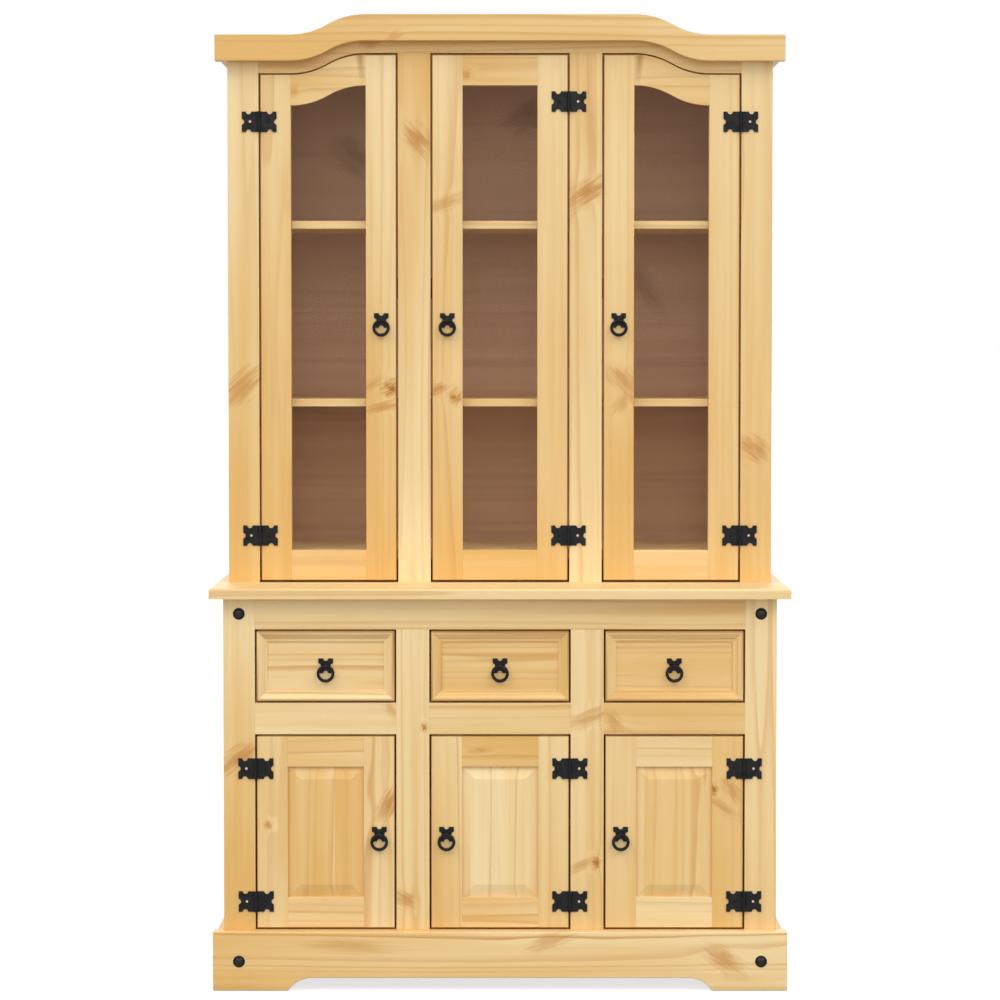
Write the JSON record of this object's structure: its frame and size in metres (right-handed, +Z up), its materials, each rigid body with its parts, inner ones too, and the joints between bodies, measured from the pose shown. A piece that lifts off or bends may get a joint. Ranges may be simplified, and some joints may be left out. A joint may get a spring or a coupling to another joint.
{
  "type": "highboard",
  "caption": "Waxed pine dresser: a glazed hutch with an S-curved cornice on a base of drawers and panelled doors, with black iron butterfly hinges and ring pulls.",
  "frame": {"origin": "middle of the footprint, on the ground", "axes": "+X to the right as seen from the front, +Y to the back, +Z up"},
  "size_m": [1.12, 0.43, 1.8935],
  "materials": {
    "waxed_pine": "satin wax",
    "pine_backing": "plain",
    "black_iron": "satin black",
    "clear_glass": "polished"
  },
  "bodies": {
    "carcass": {"base_top": "waxed_pine", "base_sides": "waxed_pine", "base_partitions": "waxed_pine", "base_floor": "waxed_pine", "base_back_panel": "pine_backing", "base_face_stiles": "waxed_pine", "base_face_rails": "waxed_pine", "base_shelves": "waxed_pine", "drawer_runners": "waxed_pine", "plinth_front": "waxed_pine", "plinth_sides": "waxed_pine", "hutch_sides": "waxed_pine", "hutch_floor": "waxed_pine", "hutch_roof": "waxed_pine", "hutch_back_panel": "pine_backing", "hutch_face_stiles": "waxed_pine", "hutch_frieze_rail": "waxed_pine", "cornice_front": "waxed_pine", "cornice_sides": "waxed_pine", "hutch_shelves": "waxed_pine", "frame_hinge_leaves": "black_iron", "hinge_pins": "black_iron", "corner_studs": "black_iron", "door_catches": "black_iron"},
    "drawer_left": {"drawer_left_front": "waxed_pine", "drawer_left_box": "waxed_pine", "drawer_left_pull_plate": "black_iron"},
    "drawer_left_ring": {"drawer_left_ring": "black_iron"},
    "drawer_middle": {"drawer_middle_front": "waxed_pine", "drawer_middle_box": "waxed_pine", "drawer_middle_pull_plate": "black_iron"},
    "drawer_middle_ring": {"drawer_middle_ring": "black_iron"},
    "drawer_right": {"drawer_right_front": "waxed_pine", "drawer_right_box": "waxed_pine", "drawer_right_pull_plate": "black_iron"},
    "drawer_right_ring": {"drawer_right_ring": "black_iron"},
    "base_door_left": {"base_door_left_frame": "waxed_pine", "base_door_left_panel": "waxed_pine", "base_door_left_fittings": "black_iron"},
    "base_door_left_ring": {"base_door_left_ring": "black_iron"},
    "base_door_middle": {"base_door_middle_frame": "waxed_pine", "base_door_middle_panel": "waxed_pine", "base_door_middle_fittings": "black_iron"},
    "base_door_middle_ring": {"base_door_middle_ring": "black_iron"},
    "base_door_right": {"base_door_right_frame": "waxed_pine", "base_door_right_panel": "waxed_pine", "base_door_right_fittings": "black_iron"},
    "base_door_right_ring": {"base_door_right_ring": "black_iron"},
    "hutch_door_left": {"hutch_door_left_frame": "waxed_pine", "hutch_door_left_glass": "clear_glass", "hutch_door_left_fittings": "black_iron"},
    "hutch_door_left_ring": {"hutch_door_left_ring": "black_iron"},
    "hutch_door_middle": {"hutch_door_middle_frame": "waxed_pine", "hutch_door_middle_glass": "clear_glass", "hutch_door_middle_fittings": "black_iron"},
    "hutch_door_middle_ring": {"hutch_door_middle_ring": "black_iron"},
    "hutch_door_right": {"hutch_door_right_frame": "waxed_pine", "hutch_door_right_glass": "clear_glass", "hutch_door_right_fittings": "black_iron"},
    "hutch_door_right_ring": {"hutch_door_right_ring": "black_iron"}
  },
  "joints": [
    {"name": "drawer_left_slide", "type": "slide", "parent": "carcass", "child": "drawer_left", "axis": [0, -1, 0], "range_m": [0, 0.26]},
    {"name": "drawer_left_ring_swing", "type": "hinge", "parent": "drawer_left", "child": "drawer_left_ring", "pos_m": [-0.33733, -0.19, 0.62775], "axis": [-1, 0, 0], "range_deg": [0, 150]},
    {"name": "drawer_middle_slide", "type": "slide", "parent": "carcass", "child": "drawer_middle", "axis": [0, -1, 0], "range_m": [0, 0.26]},
    {"name": "drawer_middle_ring_swing", "type": "hinge", "parent": "drawer_middle", "child": "drawer_middle_ring", "pos_m": [0, -0.19, 0.62775], "axis": [-1, 0, 0], "range_deg": [0, 150]},
    {"name": "drawer_right_slide", "type": "slide", "parent": "carcass", "child": "drawer_right", "axis": [0, -1, 0], "range_m": [0, 0.26]},
    {"name": "drawer_right_ring_swing", "type": "hinge", "parent": "drawer_right", "child": "drawer_right_ring", "pos_m": [0.33733, -0.19, 0.62775], "axis": [-1, 0, 0], "range_deg": [0, 150]},
    {"name": "base_door_left_hinge", "type": "hinge", "parent": "carcass", "child": "base_door_left", "pos_m": [-0.4725, -0.1938, 0.30525], "axis": [0, 0, -1], "range_deg": [0, 170]},
    {"name": "base_door_left_ring_swing", "type": "hinge", "parent": "base_door_left", "child": "base_door_left_ring", "pos_m": [-0.23367, -0.198, 0.30125], "axis": [-1, 0, 0], "range_deg": [0, 150]},
    {"name": "base_door_middle_hinge", "type": "hinge", "parent": "carcass", "child": "base_door_middle", "pos_m": [0.13517, -0.1938, 0.30525], "axis": [0, 0, 1], "range_deg": [0, 110]},
    {"name": "base_door_middle_ring_swing", "type": "hinge", "parent": "base_door_middle", "child": "base_door_middle_ring", "pos_m": [-0.10367, -0.198, 0.30125], "axis": [-1, 0, 0], "range_deg": [0, 150]},
    {"name": "base_door_right_hinge", "type": "hinge", "parent": "carcass", "child": "base_door_right", "pos_m": [0.4725, -0.1938, 0.30525], "axis": [0, 0, 1], "range_deg": [0, 170]},
    {"name": "base_door_right_ring_swing", "type": "hinge", "parent": "base_door_right", "child": "base_door_right_ring", "pos_m": [0.23367, -0.198, 0.30125], "axis": [-1, 0, 0], "range_deg": [0, 150]},
    {"name": "hutch_door_left_hinge", "type": "hinge", "parent": "carcass", "child": "hutch_door_left", "pos_m": [-0.4725, -0.0838, 1.3], "axis": [0, 0, -1], "range_deg": [0, 170]},
    {"name": "hutch_door_left_ring_swing", "type": "hinge", "parent": "hutch_door_left", "child": "hutch_door_left_ring", "pos_m": [-0.23367, -0.088, 1.2965], "axis": [-1, 0, 0], "range_deg": [0, 150]},
    {"name": "hutch_door_middle_hinge", "type": "hinge", "parent": "carcass", "child": "hutch_door_middle", "pos_m": [0.13517, -0.0838, 1.3], "axis": [0, 0, 1], "range_deg": [0, 110]},
    {"name": "hutch_door_middle_ring_swing", "type": "hinge", "parent": "hutch_door_middle", "child": "hutch_door_middle_ring", "pos_m": [-0.10367, -0.088, 1.2965], "axis": [-1, 0, 0], "range_deg": [0, 150]},
    {"name": "hutch_door_right_hinge", "type": "hinge", "parent": "carcass", "child": "hutch_door_right", "pos_m": [0.4725, -0.0838, 1.3], "axis": [0, 0, 1], "range_deg": [0, 170]},
    {"name": "hutch_door_right_ring_swing", "type": "hinge", "parent": "hutch_door_right", "child": "hutch_door_right_ring", "pos_m": [0.23367, -0.088, 1.2965], "axis": [-1, 0, 0], "range_deg": [0, 150]}
  ]
}
